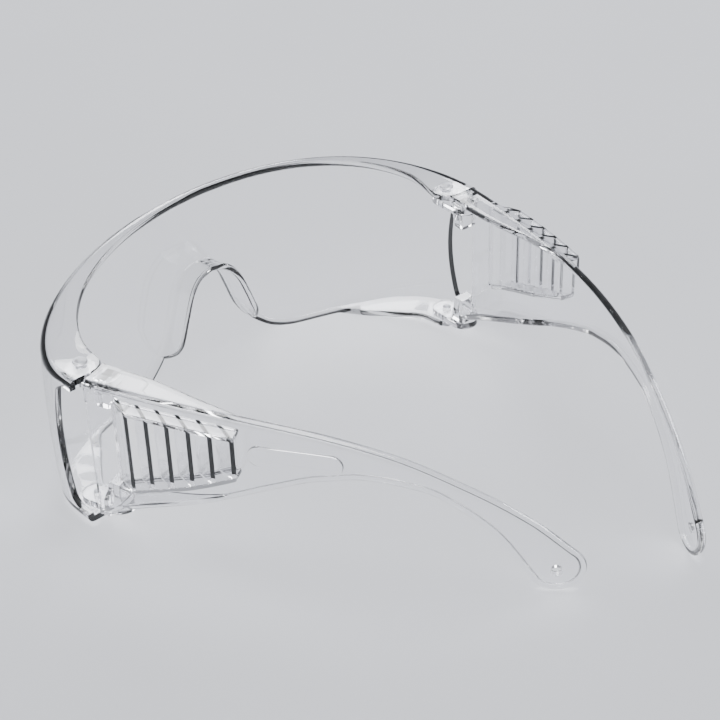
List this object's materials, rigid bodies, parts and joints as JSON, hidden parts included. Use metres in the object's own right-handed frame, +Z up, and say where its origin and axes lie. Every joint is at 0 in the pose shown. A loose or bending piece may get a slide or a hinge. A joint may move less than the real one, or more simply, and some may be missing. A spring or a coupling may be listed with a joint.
{
  "type": "safety glasses",
  "caption": "Clear over-the-glasses safety spectacles: one-piece wraparound lens with nose bridge, and two hinged temples with louvred side shields.",
  "frame": {"origin": "under the middle of the whole object's box, on the surface it stands on, with the temples partly folded in as it stands", "axes": "+Z up along the hinge axes, -Y the way the lens faces, +Y along the temples (the longest side), +X the wearer's left"},
  "size_m": [0.1568, 0.177, 0.0631],
  "materials": {
    "clear_lens": "clear, colourless polished polycarbonate with a faint violet cast at its edges",
    "clear_temple": "clear, colourless polished polycarbonate with fine handling scratches",
    "pin": "clear to milky moulded plastic"
  },
  "bodies": {
    "lens": {"lens_front": "clear_lens", "left_upper_pin": "pin", "right_upper_pin": "pin", "left_lower_pin": "pin", "right_lower_pin": "pin"},
    "left_arm": {"left_temple": "clear_temple"},
    "right_arm": {"right_temple": "clear_temple"}
  },
  "joints": [
    {"name": "left_hinge", "type": "hinge", "parent": "lens", "child": "left_arm", "pos_m": [0.07067, -0.04679, 0.025], "axis": [0, 0, 1], "range_deg": [-18.9, 44]},
    {"name": "right_hinge", "type": "hinge", "parent": "lens", "child": "right_arm", "pos_m": [-0.06853, -0.04679, 0.025], "axis": [0, 0, 1], "range_deg": [-11, 2.8]}
  ]
}
